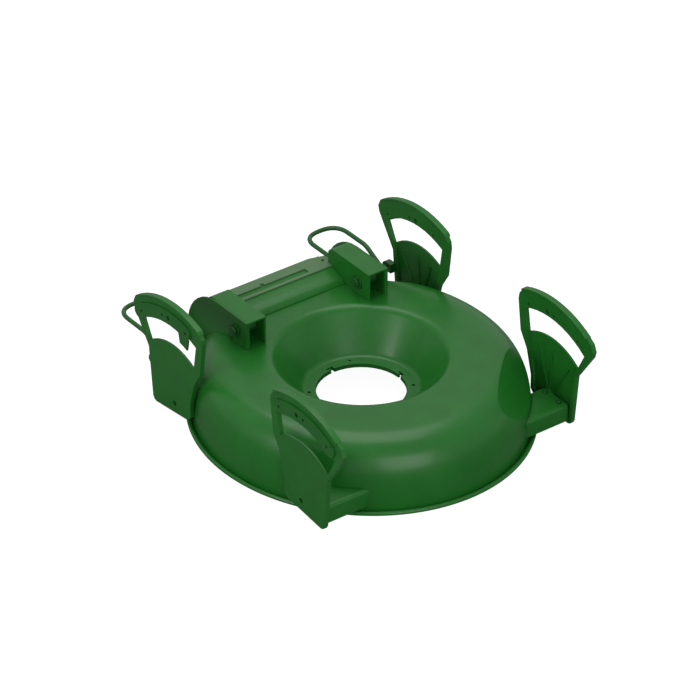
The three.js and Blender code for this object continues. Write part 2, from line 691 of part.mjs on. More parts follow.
/** Eye block on the sector's inner face that takes the bail's outer end. */
function bailEye() {
  const y = bailAxisY - rearPivotY;
  const z = BAIL_AXIS_HEIGHT - PIVOT_HEIGHT;
  const x0 = eyeX;
  const x1 = sectorX - GAP;
  const outline = [
    [y - EYE_BACK, z - EYE_HEIGHT / 2],
    ...arcPoints(y, z, EYE_HEIGHT / 2, 180, 0, 8),
    [y - EYE_BACK, z + EYE_HEIGHT / 2],
  ];
  const hole = barAcross(x0 - 1, x1 + 1, y, z, WIRE_RADIUS + BOLT_PLAY);
  return slabAcross(outline, x0, x1).subtract(hole);
}

// ---- Lift bail ----

/** Path through the given corners, each one rounded by a radius. */
function roundedPath(corners, radius) {
  const path = new THREE.CurvePath();
  let from = corners[0];
  for (let i = 1; i < corners.length - 1; i += 1) {
    const towards = corners[i].clone().sub(corners[i - 1]).normalize();
    const onwards = corners[i + 1].clone().sub(corners[i]).normalize();
    const start = corners[i].clone().addScaledVector(towards, -radius[i]);
    const end = corners[i].clone().addScaledVector(onwards, radius[i]);
    path.add(new THREE.LineCurve3(from, start));
    path.add(new THREE.QuadraticBezierCurve3(start, corners[i], end));
    from = end;
  }
  path.add(new THREE.LineCurve3(from, corners[corners.length - 1]));
  return path;
}

function liftBail() {
  const x0 = BAIL_INNER_X;
  const x1 = bailOuterX;
  const low = BAIL_AXIS_HEIGHT;
  const high = BAIL_AXIS_HEIGHT + BAIL_RISE;
  const corners = [
    [sidePlateInnerX - 1, bailAxisY, low],
    [x0, bailAxisY, low],
    [x0, bailAxisY + BAIL_KNEE, high],
    [x0, bailRear, high],
    [x1, bailRear, high],
    [x1, bailAxisY + BAIL_KNEE, high],
    [x1, bailAxisY, low],
    [sectorX - GAP - 1, bailAxisY, low],
  ].map((place) => new THREE.Vector3(...place));
  const end = (x1 - x0) / 2 - 3;
  const path = roundedPath(corners, [0, WIRE_BEND, WIRE_BEND, end, end, WIRE_BEND, WIRE_BEND, 0]);
  const section = new THREE.Shape(
    Array.from({ length: 8 }, (_, i) => {
      const angle = radians(45 * i);
      return new THREE.Vector2(WIRE_RADIUS * Math.cos(angle), WIRE_RADIUS * Math.sin(angle));
    }),
  );
  const geometry = new THREE.ExtrudeGeometry(section, { steps: 60, bevelEnabled: false, extrudePath: path });
  return toSolid(geometry);
}

// ---- Assembly ----
const model = new THREE.Group();
const deck = new THREE.Group();
deck.position.y = deckAxisY;
model.add(deck);

/** Adds one named piece to a group, with its own finish. */
function place(group, name, solid, roughness = 0.42) {
  const material = new THREE.MeshStandardMaterial({ roughness, metalness: 0.0 });
  material.color.setRGB(...green);
  const mesh = new THREE.Mesh(toGeometry(solid), material);
  mesh.name = name;
  group.add(mesh);
}

const shellEnvelope = envelope();
place(deck, 'deck_shell', deckShell(), 0.36);
place(deck, 'rim_hoop', rimHoop());
place(deck, 'engine_seat_ring', seatRing());
place(deck, 'cross_box', crossBox(shellEnvelope));
place(deck, 'cover_plate', coverPlate());

for (const [side, hand] of [['right', 1], ['left', -1]]) {
  const handed = (solid) => (hand === 1 ? solid : solid.mirror([1, 0, 0]));
  place(deck, `handle_channel_${side}`, handed(handleChannel(shellEnvelope)));
  place(deck, `side_plate_${side}`, handed(sidePlate(shellEnvelope)));
  place(deck, `pivot_bolt_${side}`, handed(pivotBolt()));
  place(deck, `pivot_nut_${side}`, handed(pivotNut()));
  place(deck, `pivot_washer_outer_${side}`, handed(washer(washerOuterX)));
  place(deck, `pivot_washer_inner_${side}`, handed(washer(washerInnerX)));
  place(deck, `pivot_spacer_${side}`, handed(pivotSpacer()));
  place(deck, `foot_bolt_${side}`, handed(footBolt()));
  place(deck, `lift_bail_${side}`, handed(liftBail()));
  for (const [end, pivot, way] of [['front', frontPivotY, -1], ['rear', rearPivotY, 1]]) {
    const turn = end === 'rear' ? REAR_PLATE_TURN : 0;
    const corner = new THREE.Group();
    corner.position.set(0, pivot, PIVOT_HEIGHT);
    deck.add(corner);
    const ended = (solid) => handed(way === 1 ? solid : solid.mirror([0, 1, 0]));
    place(corner, `height_sector_${end}_${side}`, ended(heightSector(turn)), 0.5);
    place(corner, `sector_cap_${end}_${side}`, ended(sectorCap()), 0.5);
    place(corner, `index_plate_${end}_${side}`, ended(indexPlate(turn, end === 'rear' && side === 'left')), 0.4);
    place(corner, `support_arm_${end}_${side}`, ended(supportArm(shellEnvelope, Math.abs(pivot))));
    ARM_SCREWS.forEach((y, i) => {
      place(corner, `arm_screw_${end}_${side}_${i + 1}`, ended(armScrew(y)));
    });
    if (end === 'rear') {
      place(corner, `bail_eye_${side}`, ended(bailEye()));
    }
  }
}

export default model;
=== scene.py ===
"""Looks of a walk-behind mower deck: pressed shell, rolled rim, rear box, sectors and lift bails.

Every length in the dataclasses is in millimetres and is turned into metres where a mesh is made.
"""

import logging
import math
from collections.abc import Callable, Iterable, Sequence
from dataclasses import dataclass, field
from enum import Enum

import bmesh
import bpy
from mathutils import Matrix, Vector


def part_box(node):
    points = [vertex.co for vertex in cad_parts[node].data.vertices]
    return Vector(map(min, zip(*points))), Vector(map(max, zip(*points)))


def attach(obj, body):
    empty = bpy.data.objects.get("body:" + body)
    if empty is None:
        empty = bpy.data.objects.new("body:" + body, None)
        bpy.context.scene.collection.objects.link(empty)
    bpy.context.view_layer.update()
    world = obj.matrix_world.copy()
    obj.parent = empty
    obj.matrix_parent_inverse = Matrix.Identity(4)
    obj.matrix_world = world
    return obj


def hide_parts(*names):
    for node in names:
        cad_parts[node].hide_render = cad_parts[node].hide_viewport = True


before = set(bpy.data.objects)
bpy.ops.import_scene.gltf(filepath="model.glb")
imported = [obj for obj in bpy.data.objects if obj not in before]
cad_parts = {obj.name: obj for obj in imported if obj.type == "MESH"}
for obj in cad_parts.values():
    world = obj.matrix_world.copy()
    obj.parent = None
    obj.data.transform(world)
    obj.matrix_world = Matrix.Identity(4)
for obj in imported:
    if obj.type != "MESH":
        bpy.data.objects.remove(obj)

MM = 0.001
FINE_WELD = 0.01 * MM  # vertices nearer than this become one
SPIN_WELD = 0.02 * MM  # the same, for what is spun
FLAT_WITHIN = math.radians(0.6)  # faces that turn less than this are one flat face
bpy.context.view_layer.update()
DECK_BODY = "deck"

log = logging.getLogger("deck")


class Side(Enum):
    """Side of the deck, seen by the person who pushes it."""

    RIGHT = 1
    LEFT = -1

    @property
    def word(self) -> str:
        """The side as it stands in node names."""
        return self.name.lower()


class End(Enum):
    """End of the deck along the direction of travel."""

    FRONT = -1
    REAR = 1

    @property
    def word(self) -> str:
        """The end as it stands in node names."""
        return self.name.lower()


class Slot(Enum):
    """Material slots of the record."""

    DECK = "deck_enamel"
    SECTOR = "sector_enamel"
    PLATE = "plate_enamel"
    HARDWARE = "hardware_enamel"
    WIRE = "wire_enamel"


# ---- Modelling steps ----


def deselect_all() -> None:
    """Leaves edit mode and deselects every object."""
    if bpy.context.object and bpy.context.object.mode != "OBJECT":
        bpy.ops.object.mode_set(mode="OBJECT")
    bpy.ops.object.select_all(action="DESELECT")


def activate(piece: bpy.types.Object) -> None:
    """Selects one object alone and makes it the active one.

    Args:
        piece: The object to work on.
    """
    deselect_all()
    piece.select_set(True)
    bpy.context.view_layer.objects.active = piece


def edit(piece: bpy.types.Object) -> None:
    """Opens one object in edit mode with vertices as the select mode.

    Args:
        piece: The object to work on.
    """
    activate(piece)
    bpy.ops.object.mode_set(mode="EDIT")
    bpy.ops.mesh.select_mode(type="VERT")


def pick(piece: bpy.types.Object, wanted: Callable[[bmesh.types.BMVert], bool]) -> None:
    """Selects the vertices that a test wants, in edit mode.

    Args:
        piece: The object that is in edit mode.
        wanted: Says whether a vertex is selected.
    """
    bpy.ops.mesh.select_all(action="DESELECT")
    mesh = bmesh.from_edit_mesh(piece.data)
    for vertex in mesh.verts:
        if wanted(vertex):
            vertex.select = True
    mesh.select_flush(True)
    bmesh.update_edit_mesh(piece.data)


def start_point(name: str, place: Vector) -> bpy.types.Object:
    """Adds an object that is a single vertex, selected in edit mode.

    Args:
        name: Name of the new object.
        place: Where the vertex is, in metres.

    Returns:
        The new object, at the origin.
    """
    deselect_all()
    bpy.ops.mesh.primitive_plane_add(size=MM, location=place)
    piece = bpy.context.object
    piece.name = name
    bpy.ops.object.transform_apply(location=True, rotation=True, scale=True)
    edit(piece)
    bpy.ops.mesh.select_all(action="SELECT")
    bpy.ops.mesh.merge(type="CENTER")
    return piece


def draw_path(name: str, places: Sequence[Vector]) -> bpy.types.Object:
    """Draws an open chain of edges by extruding one vertex from place to place.

    Args:
        name: Name of the new object.
        places: The chain's places, in metres.

    Returns:
        The new object, in edit mode.
    """
    piece = start_point(name, places[0])
    for before, after in zip(places, places[1:]):
        bpy.ops.mesh.extrude_region_move(TRANSFORM_OT_translate={"value": after - before})
    return piece


def push_outline(name: str, outline: Sequence[Vector], push: Vector) -> bpy.types.Object:
    """Fills a closed outline with a face and pushes it into a solid.

    Args:
        name: Name of the new object.
        outline: The outline's places in order, in metres.
        push: How far and which way the face is extruded, in metres.

    Returns:
        The new object, in edit mode.
    """
    piece = draw_path(name, [*outline, outline[0]])
    bpy.ops.mesh.select_all(action="SELECT")
    bpy.ops.mesh.remove_doubles(threshold=FINE_WELD)
    bpy.ops.mesh.edge_face_add()
    bpy.ops.mesh.extrude_region_move(TRANSFORM_OT_translate={"value": push})
    bpy.ops.mesh.select_all(action="SELECT")
    bpy.ops.mesh.normals_make_consistent(inside=False)
    return piece


def rounded_corner(before: Vector, corner: Vector, after: Vector, reach: float, steps: int) -> list[Vector]:
    """Rounds the corner of a line.

    Args:
        before: The place before the corner.
        corner: The corner.
        after: The place after the corner.
        reach: Distance from the corner at which the rounding starts and ends.
        steps: Number of steps along the rounding.

    Returns:
        The places along the rounding.
    """
    start = corner + (before - corner).normalized() * reach
    end = corner + (after - corner).normalized() * reach
    shares = [i / steps for i in range(steps + 1)]
    return [(1 - t) ** 2 * start + 2 * t * (1 - t) * corner + t * t * end for t in shares]


def spin_round(centre: Vector, steps: int) -> None:
    """Spins what is drawn in edit mode a full turn about an upright axis and closes the seam.

    Args:
        centre: A point on the axis, in metres.
        steps: Number of steps in the turn.
    """
    bpy.ops.mesh.select_all(action="SELECT")
    bpy.ops.mesh.spin(steps=steps, angle=math.tau, center=centre, axis=(0, 0, 1))
    bpy.ops.mesh.select_all(action="SELECT")
    bpy.ops.mesh.remove_doubles(threshold=SPIN_WELD)
    bpy.ops.mesh.normals_make_consistent(inside=False)


def apply_modifier(piece: bpy.types.Object, kind: str, **settings: object) -> None:
    """Adds a modifier with its settings and applies it.

    Args:
        piece: The object that is changed.
        kind: The modifier's type.
        **settings: Values of the modifier's properties.
    """
    activate(piece)
    modifier = piece.modifiers.new(kind.title(), kind)
    for key, value in settings.items():
        setattr(modifier, key, value)
    bpy.ops.object.modifier_apply(modifier=modifier.name)


def round_edges(piece: bpy.types.Object, radius: float, segments: int = 2, above: float = 28) -> None:
    """Rounds the sharp edges of a piece.

    Args:
        piece: The object that is changed.
        radius: Width of the rounding, in millimetres.
        segments: Faces across the rounding.
        above: Smallest angle of an edge that is rounded, in degrees.
    """
    apply_modifier(
        piece, "BEVEL", width=radius * MM, segments=segments, limit_method="ANGLE",
        angle_limit=math.radians(above), use_clamp_overlap=True, harden_normals=False,
    )


def shade(piece: bpy.types.Object, angle: float = 38) -> None:
    """Shades a piece smooth, apart from edges sharper than an angle.

    Args:
        piece: The object that is shaded.
        angle: Sharpest angle that is shaded smooth, in degrees.
    """
    activate(piece)
    bpy.ops.object.shade_smooth_by_angle(angle=math.radians(angle))
    apply_modifier(piece, "WEIGHTED_NORMAL", mode="FACE_AREA", weight=50, keep_sharp=True)


def rounded_copy(node: str, name: str, radius: float, segments: int = 2) -> bpy.types.Object:
    """Copies a CAD node, merges its triangles into faces and rounds its edges.

    Args:
        node: The CAD node to copy.
        name: Name of the new object.
        radius: Width of the rounding, in millimetres.
        segments: Faces across the rounding.

    Returns:
        The new object.
    """
    piece = bpy.data.objects.new(name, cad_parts[node].data.copy())
    bpy.context.scene.collection.objects.link(piece)
    edit(piece)
    bpy.ops.mesh.select_all(action="SELECT")
    bpy.ops.mesh.remove_doubles(threshold=FINE_WELD)
    bpy.ops.mesh.customdata_custom_splitnormals_clear()
    bpy.ops.mesh.dissolve_limited(angle_limit=FLAT_WITHIN)
    bpy.ops.object.mode_set(mode="OBJECT")
    round_edges(piece, radius, segments)
    shade(piece)
    return piece


def hand_in(piece: bpy.types.Object, body: str, slot: Slot, *nodes: str) -> None:
    """Rides a finished piece on its body and lets it stand for its CAD nodes.

    Args:
        piece: The finished object.
        body: The CAD body that it moves with.
        slot: The record's material slot; not used.
        *nodes: The CAD nodes that it replaces.
    """
    deselect_all()
    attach(piece, body)
    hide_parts(*nodes)
    log.info("%s: %d faces, on %s", piece.name, len(piece.data.polygons), body)


# ---- Finishes ----


def surface_group() -> bpy.types.NodeTree:
    """Makes the node group of a sprayed and stoved enamel surface.

    Returns:
        A group that puts out Tone, Roughness, Dust and Height over the surface.
    """
    tree = bpy.data.node_groups.new("EnamelSurface", "ShaderNodeTree")
    face = tree.interface
    for name in ("Mottle Scale", "Peel Scale", "Roughness", "Spread"):
        face.new_socket(name, in_out="INPUT", socket_type="NodeSocketFloat")
    for name in ("Tone", "Roughness", "Dust", "Height"):
        face.new_socket(name, in_out="OUTPUT", socket_type="NodeSocketFloat")
    nodes, links = tree.nodes, tree.links
    given = nodes.new("NodeGroupInput")
    result = nodes.new("NodeGroupOutput")
    place = nodes.new("ShaderNodeTexCoord")
    mottle = nodes.new("ShaderNodeTexNoise")
    mottle.inputs["Detail"].default_value = 5.0
    mottle.inputs["Roughness"].default_value = 0.55
    peel = nodes.new("ShaderNodeTexNoise")
    peel.inputs["Detail"].default_value = 1.5
    scuff = nodes.new("ShaderNodeTexNoise")
    scuff.inputs["Scale"].default_value = 420.0
    scuff.inputs["Detail"].default_value = 6.0
    for noise in (mottle, peel, scuff):
        links.new(place.outputs["Object"], noise.inputs["Vector"])
    links.new(given.outputs["Mottle Scale"], mottle.inputs["Scale"])
    links.new(given.outputs["Peel Scale"], peel.inputs["Scale"])
    tone = nodes.new("ShaderNodeMapRange")
    tone.inputs["From Min"].default_value = 0.3
    tone.inputs["From Max"].default_value = 0.7
    links.new(mottle.outputs["Fac"], tone.inputs["Value"])
    links.new(tone.outputs["Result"], result.inputs["Tone"])
    swing = nodes.new("ShaderNodeMath")
    swing.operation = "SUBTRACT"
    swing.inputs[1].default_value = 0.5
    links.new(mottle.outputs["Fac"], swing.inputs[0])
    rough = nodes.new("ShaderNodeMath")
    rough.operation = "MULTIPLY_ADD"
    links.new(swing.outputs["Value"], rough.inputs[0])
    links.new(given.outputs["Spread"], rough.inputs[1])
    links.new(given.outputs["Roughness"], rough.inputs[2])
    links.new(rough.outputs["Value"], result.inputs["Roughness"])
    speck = nodes.new("ShaderNodeMapRange")
    speck.inputs["From Min"].default_value = 0.66
    speck.inputs["From Max"].default_value = 0.78
    links.new(scuff.outputs["Fac"], speck.inputs["Value"])
    links.new(speck.outputs["Result"], result.inputs["Dust"])
    links.new(peel.outputs["Fac"], result.inputs["Height"])
    return tree


@dataclass(frozen=True)
class EnamelFinish:
    """One sprayed enamel finish, built as a material when it is asked for."""

    name: str
    colour: tuple[float, float, float]
    deep: tuple[float, float, float]
    roughness: float = 0.34
    spread: float = 0.12
    peel: float = 0.05
    peel_scale: float = 520.0
    mottle_scale: float = 26.0
    specular: float = 0.3
    coat: float = 0.14
    coat_roughness: float = 0.16
    peel_height: float = 0.4
    speck_share: float = 0.6
    speck_lift: float = 0.03

    def material(self, group: bpy.types.NodeTree) -> bpy.types.Material:
        """Builds the finish's material, or returns the one built before.

        Args:
            group: The enamel surface group.

        Returns:
            The material.
        """
        known = bpy.data.materials.get(self.name)
        if known:
            return known
        material = bpy.data.materials.new(self.name)
        material.use_nodes = True
        nodes, links = material.node_tree.nodes, material.node_tree.links
        shader = nodes["Principled BSDF"]
        shader.inputs["Metallic"].default_value = 0.0
        shader.inputs["Specular IOR Level"].default_value = self.specular
        shader.inputs["Coat Weight"].default_value = self.coat
        shader.inputs["Coat Roughness"].default_value = self.coat_roughness
        surface = nodes.new("ShaderNodeGroup")
        surface.node_tree = group
        surface.inputs["Mottle Scale"].default_value = self.mottle_scale
        surface.inputs["Peel Scale"].default_value = self.peel_scale
        surface.inputs["Roughness"].default_value = self.roughness
        surface.inputs["Spread"].default_value = self.spread
        paint = nodes.new("ShaderNodeMix")
        paint.data_type = "RGBA"
        paint.inputs["A"].default_value = (*self.deep, 1)
        paint.inputs["B"].default_value = (*self.colour, 1)
        links.new(surface.outputs["Tone"], paint.inputs["Factor"])
        pale = nodes.new("ShaderNodeMix")
        pale.data_type = "RGBA"
        speck = (self.speck_share * value + self.speck_lift for value in self.colour)
        pale.inputs["B"].default_value = (*speck, 1)
        links.new(surface.outputs["Dust"], pale.inputs["Factor"])
        links.new(paint.outputs["Result"], pale.inputs["A"])
        links.new(pale.outputs["Result"], shader.inputs["Base Color"])
        links.new(surface.outputs["Roughness"], shader.inputs["Roughness"])
        bump = nodes.new("ShaderNodeBump")
        bump.inputs["Strength"].default_value = self.peel
        bump.inputs["Distance"].default_value = self.peel_height * MM
        links.new(surface.outputs["Height"], bump.inputs["Height"])
        links.new(bump.outputs["Normal"], shader.inputs["Normal"])
        return material


@dataclass
class PaintShop:
    """Holds the finishes and paints pieces with them."""

    finishes: dict[Slot, EnamelFinish] = field(default_factory=lambda: {
        Slot.DECK: EnamelFinish("deck_enamel_gloss", (0.0095, 0.128, 0.0125), (0.0082, 0.112, 0.0108)),
        Slot.SECTOR: EnamelFinish(
            "sector_enamel_satin", (0.0095, 0.128, 0.0125), (0.008, 0.108, 0.0105),
            roughness=0.42, peel=0.12, peel_scale=900.0, coat=0.1, coat_roughness=0.24,
        ),
        Slot.PLATE: EnamelFinish(
            "plate_enamel_satin", (0.0088, 0.114, 0.0115), (0.0075, 0.096, 0.0098),
            roughness=0.4, coat=0.1, coat_roughness=0.2,
        ),
        Slot.HARDWARE: EnamelFinish(
            "hardware_enamel_stoved", (0.009, 0.085, 0.012), (0.006, 0.065, 0.009),
            roughness=0.36, mottle_scale=120.0,
        ),
        Slot.WIRE: EnamelFinish(
            "wire_enamel_stoved", (0.010, 0.1, 0.013), (0.008, 0.08, 0.011),
            roughness=0.33, mottle_scale=60.0,
        ),
    })
    group: bpy.types.NodeTree | None = None

    def paint(self, piece: bpy.types.Object, slot: Slot, finish: EnamelFinish | None = None) -> None:
        """Gives a piece the finish of a slot, all over.

        Args:
            piece: The object that is painted.
            slot: The record's material slot.
            finish: A finish of the piece's own, in place of the slot's.
        """
        if self.group is None:
            self.group = surface_group()
        material = (finish or self.finishes[slot]).material(self.group)
        piece.data.materials.clear()
        piece.data.materials.append(material)

    def finish_copies(self, kinds: Iterable[tuple[str, str, float, Slot]]) -> None:
        """Copies, rounds, paints and hands in pieces that the deck carries.

        Args:
            kinds: For each piece its CAD node, how it is made, its rounding in millimetres and its slot.
        """
        for node, make, rounding, slot in kinds:
            piece = rounded_copy(node, f"{node}_{make}", rounding)
            self.paint(piece, slot)
            hand_in(piece, DECK_BODY, slot, node)


# ---- Sub-assemblies ----


@dataclass
class PressedShell:
    """The ring-shaped shell with its engine bowl, and the rolled rim round its foot."""

    shop: PaintShop
    rim_radius: float = 280.0
    rim_lengthening: float = 1.068
    hoop_radius: float = 3.8
    gap: float = 0.3
    lip: float = 2.1
    sheet: float = 3.0
    crown_radius: float = 196.0
    crown_height: float = 118.0
    mouth_radius: float = 144.0
    mouth_sink: float = 0.6
    mouth_rounding: float = 10.0
    floor_radius: float = 97.0
    floor_height: float = 50.0
    floor_rounding: float = 6.0
    bore_radius: float = 74.0
    flank_foot: float = 9.0
    flank_fullness: float = 2.9
    notch_angles: tuple[float, ...] = (92, -4, 272, 176)
    notch_outline: tuple[tuple[float, float], ...] = (
        (72, -3.5), (81, -3.5), (81, 9.5), (77.5, 9.5), (77.5, 3.5), (72, 3.5),
    )
    hole_from_notch: float = -25.5
    hole_circle: float = 85.5
    hole_radius: float = 3.0
    hole_faces: int = 24
    panel_distance: float = 251.0
    panel_tilt: float = 38.7
    panel_azimuths: tuple[float, ...] = (-45, 45)
    panel_margin: float = 0.005
    ring_rounding: float = 0.5
    turns: int = 224
    flank_steps: int = 44
    corner_steps: int = 8
    hoop_faces: int = 20
    rings_per_mm: int = 20

    @property
    def axis(self) -> Vector:
        """The deck's upright axis at floor height, in metres."""
        low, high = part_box("rim_hoop")
        return Vector((0, (low.y + high.y) / 2, 0))

    @property
    def flank_radius(self) -> float:
        """Radius of the flank at its foot, in millimetres."""
        return self.rim_radius - 2 * self.hoop_radius - self.gap - self.lip

    def lengthening(self, radius: float) -> float:
        """Says how much a ring of the shell is longer than it is wide.

        Args:
            radius: Half width of the ring, in millimetres.

        Returns:
            Length over width.
        """
        share = (radius - self.floor_radius) / (self.rim_radius - self.floor_radius)
        share = min(max(share, 0.0), 1.0)
        return 1 + (self.rim_lengthening - 1) * share * share * (3 - 2 * share)

    def section(self) -> list[Vector]:
        """Gives the shell's outer surface as [radius, height] places, from foot to bore."""
        power = 2 / self.flank_fullness
        wide = self.flank_radius - self.crown_radius
        tall = self.crown_height - self.flank_foot
        # The turned-out foot, rounded into the flank.
        places = [
            Vector((self.flank_radius + self.lip, 0)),
            Vector((self.flank_radius + self.lip, self.sheet * 0.6)),
            Vector((self.flank_radius + self.lip * 0.6, self.sheet)),
            Vector((self.flank_radius + 0.5, self.sheet * 1.3)),
            Vector((self.flank_radius, self.sheet * 2)),
        ]
        for i in range(self.flank_steps + 1):
            t = math.pi / 2 * i / self.flank_steps
            places.append(Vector((
                self.crown_radius + wide * abs(math.cos(t)) ** power,
                self.flank_foot + tall * math.sin(t) ** power,
            )))
        crown = Vector((self.crown_radius, self.crown_height))
        mouth = Vector((self.mouth_radius, self.crown_height - self.mouth_sink))
        floor = Vector((self.floor_radius, self.floor_height))
        bore = Vector((self.bore_radius, self.floor_height))
        places += [crown.lerp(mouth, share) for share in (0.25, 0.5, 0.7)]
        places += rounded_corner(crown, mouth, floor, self.mouth_rounding, self.corner_steps)
        places += [mouth.lerp(floor, share) for share in (0.35, 0.5, 0.65, 0.8)]
        places += rounded_corner(mouth, floor, bore, self.floor_rounding, self.corner_steps)
        places.append(bore)
        return places

    def lengthen(self, piece: bpy.types.Object) -> None:
        """Stretches each ring of a spun piece along the direction of travel.

        Args:
            piece: The spun object, in edit mode.
        """
        mesh = bmesh.from_edit_mesh(piece.data)
        centre = self.axis
        rings: dict[int, list[int]] = {}
        for vertex in mesh.verts:
            radius = math.hypot(vertex.co.x, vertex.co.y - centre.y) / MM
            rings.setdefault(round(radius * self.rings_per_mm), []).append(vertex.index)
        for key, members in rings.items():
            stretch = self.lengthening(key / self.rings_per_mm)
            if stretch > 1:
                chosen = set(members)
                pick(piece, lambda vertex: vertex.index in chosen)
                bpy.ops.transform.resize(value=(1, stretch, 1), center_override=centre)

    def press_panel(self, piece: bpy.types.Object, azimuth: float) -> None:
        """Flattens the shoulder into a sloping panel at one corner.

        Args:
            piece: The shell's outer surface, in edit mode.
            azimuth: Direction that the panel faces, in degrees from +X.
        """
        basis = (
            Matrix.Rotation(math.radians(azimuth), 3, "Z")
            @ Matrix.Rotation(math.radians(-self.panel_tilt), 3, "Y")
        )
        normal = basis @ Vector((1, 0, 0))
        on_panel = self.axis + normal * (self.panel_distance * MM)
        bpy.ops.mesh.select_all(action="SELECT")
        bpy.ops.mesh.bisect(plane_co=on_panel, plane_no=normal)
        pick(piece, lambda vertex: (vertex.co - on_panel).dot(normal) > self.panel_margin * MM)
        bpy.ops.transform.resize(
            value=(0, 1, 1), orient_type="GLOBAL", orient_matrix=basis,
            orient_matrix_type="GLOBAL", center_override=on_panel,
        )

    def cutters(self) -> bpy.types.Object:
        """Makes one object of all that is cut through the floor round the bore.

        Returns:
            The joined cutters.
        """
        parts: list[bpy.types.Object] = []
        high = self.axis + Vector((0, 0, (self.floor_height + 2 * self.sheet) * MM))
        through = 5 * self.sheet * MM
        for angle in self.notch_angles:
            turn = Matrix.Rotation(math.radians(angle), 3, "Z")
            hook = [high + turn @ Vector((x, y, 0)) * MM for x, y in self.notch_outline]
            parts.append(push_outline("notch", hook, Vector((0, 0, -through))))
            around = math.radians(angle + self.hole_from_notch)
            place = self.axis + Vector((math.cos(around), math.sin(around), 0)) * (self.hole_circle * MM)
            place.z = self.floor_height * MM
            deselect_all()
            bpy.ops.mesh.primitive_cylinder_add(
                vertices=self.hole_faces, radius=self.hole_radius * MM, depth=through, location=place,
            )
            parts.append(bpy.context.object)
        deselect_all()
        for part in parts:
            part.select_set(True)
        bpy.context.view_layer.objects.active = parts[0]
        bpy.ops.object.transform_apply(location=True, rotation=True, scale=True)
        bpy.ops.object.join()
        return bpy.context.object

    def build_shell(self) -> bpy.types.Object:
        """Builds the pressed shell.

        Returns:
            The finished shell.
        """
        centre = self.axis
        places = [centre + Vector((p.x, 0, p.y)) * MM for p in self.section()]
        piece = draw_path("shell_pressing", places)
        spin_round(centre, self.turns)
        self.lengthen(piece)
        for azimuth in self.panel_azimuths:
            self.press_panel(piece, azimuth)
        bpy.ops.object.mode_set(mode="OBJECT")
        top = max(piece.data.polygons, key=lambda face: face.center.z)
        if top.normal.z < 0:
            edit(piece)
            bpy.ops.mesh.select_all(action="SELECT")
            bpy.ops.mesh.flip_normals()
            bpy.ops.object.mode_set(mode="OBJECT")
        apply_modifier(piece, "SOLIDIFY", thickness=self.sheet * MM, offset=-1.0)
        cutter = self.cutters()
        apply_modifier(piece, "BOOLEAN", object=cutter, operation="DIFFERENCE", solver="EXACT")
        bpy.data.objects.remove(cutter)
        shade(piece, angle=24)
        return piece

    def build_hoop(self) -> bpy.types.Object:
        """Builds the rolled rim.

        Returns:
            The finished rim.
        """
        centre = self.axis
        middle = self.rim_radius - self.hoop_radius
        places = []
        for i in range(self.hoop_faces + 1):
            angle = math.tau * i / self.hoop_faces
            across = middle + self.hoop_radius * math.cos(angle)
            places.append(centre + Vector((across, 0, self.hoop_radius * (1 + math.sin(angle)))) * MM)
        piece = draw_path("rim_roll", places)
        bpy.ops.mesh.select_all(action="SELECT")
        bpy.ops.mesh.remove_doubles(threshold=SPIN_WELD)
        spin_round(centre, self.turns)
        pick(piece, lambda vertex: True)
        bpy.ops.transform.resize(value=(1, self.rim_lengthening, 1), center_override=centre)
        bpy.ops.object.mode_set(mode="OBJECT")
        shade(piece, angle=60)
        return piece

    def build(self) -> None:
        """Builds, paints and hands in the shell, the rim and the seat ring."""
        shell = self.build_shell()
        self.shop.paint(shell, Slot.DECK)
        hand_in(shell, DECK_BODY, Slot.DECK, "deck_shell")
        hoop = self.build_hoop()
        self.shop.paint(hoop, Slot.DECK)
        hand_in(hoop, DECK_BODY, Slot.DECK, "rim_hoop")
        ring = rounded_copy("engine_seat_ring", "seat_reinforcement", self.ring_rounding)
        self.shop.paint(ring, Slot.DECK)
        hand_in(ring, DECK_BODY, Slot.DECK, "engine_seat_ring")


@dataclass
class RearBox:
    """The cross box behind the bowl and the plate that covers it."""

    shop: PaintShop
    box_rounding: float = 1.3
    box_segments: int = 3
    plate_rounding: float = 0.6
    # The cover's paler, greyer green is painted light: it stands in for the sheen of the overhead light on
    # the box's upward-facing top. Only its higher roughness is a real matt finish.
    cover_sheen_finish: EnamelFinish = EnamelFinish(
        "cover_enamel_matt_painted_sheen", (0.072, 0.160, 0.064), (0.058, 0.138, 0.053),
        roughness=0.5, specular=0.4, coat=0.1, coat_roughness=0.3,
    )

    def build(self) -> None:
        """Builds, paints and hands in the box and its cover."""
        box = rounded_copy("cross_box", "cross_box_folded", self.box_rounding, self.box_segments)
        self.shop.paint(box, Slot.DECK)
        hand_in(box, DECK_BODY, Slot.DECK, "cross_box")
        plate = rounded_copy("cover_plate", "cover_plate_stamped", self.plate_rounding)
        # Painted with the pale cover colour, which is painted light on the top plate.
        self.shop.paint(plate, Slot.DECK, self.cover_sheen_finish)
        hand_in(plate, DECK_BODY, Slot.DECK, "cover_plate")


@dataclass
class HandleMount:
    """One handle channel with its side plate, bolts, nut, washers and spacer."""

    shop: PaintShop
    side: Side
    sheet_rounding: float = 1.2
    plate_rounding: float = 0.9
    head_rounding: float = 0.8
    washer_rounding: float = 0.5

    def build(self) -> None:
        """Builds, paints and hands in the channel and all that is bolted to it."""
        kinds = (
            ("handle_channel", "folded", self.sheet_rounding, Slot.DECK),
            ("side_plate", "stamped", self.plate_rounding, Slot.DECK),
            ("pivot_bolt", "turned", self.head_rounding, Slot.HARDWARE),
            ("pivot_nut", "turned", self.head_rounding, Slot.HARDWARE),
            ("pivot_washer_outer", "stamped", self.washer_rounding, Slot.HARDWARE),
            ("pivot_washer_inner", "stamped", self.washer_rounding, Slot.HARDWARE),
            ("pivot_spacer", "turned", self.washer_rounding, Slot.HARDWARE),
            ("foot_bolt", "turned", self.washer_rounding, Slot.HARDWARE),
        )
        self.shop.finish_copies((f"{kind}_{self.side.word}", *rest) for kind, *rest in kinds)


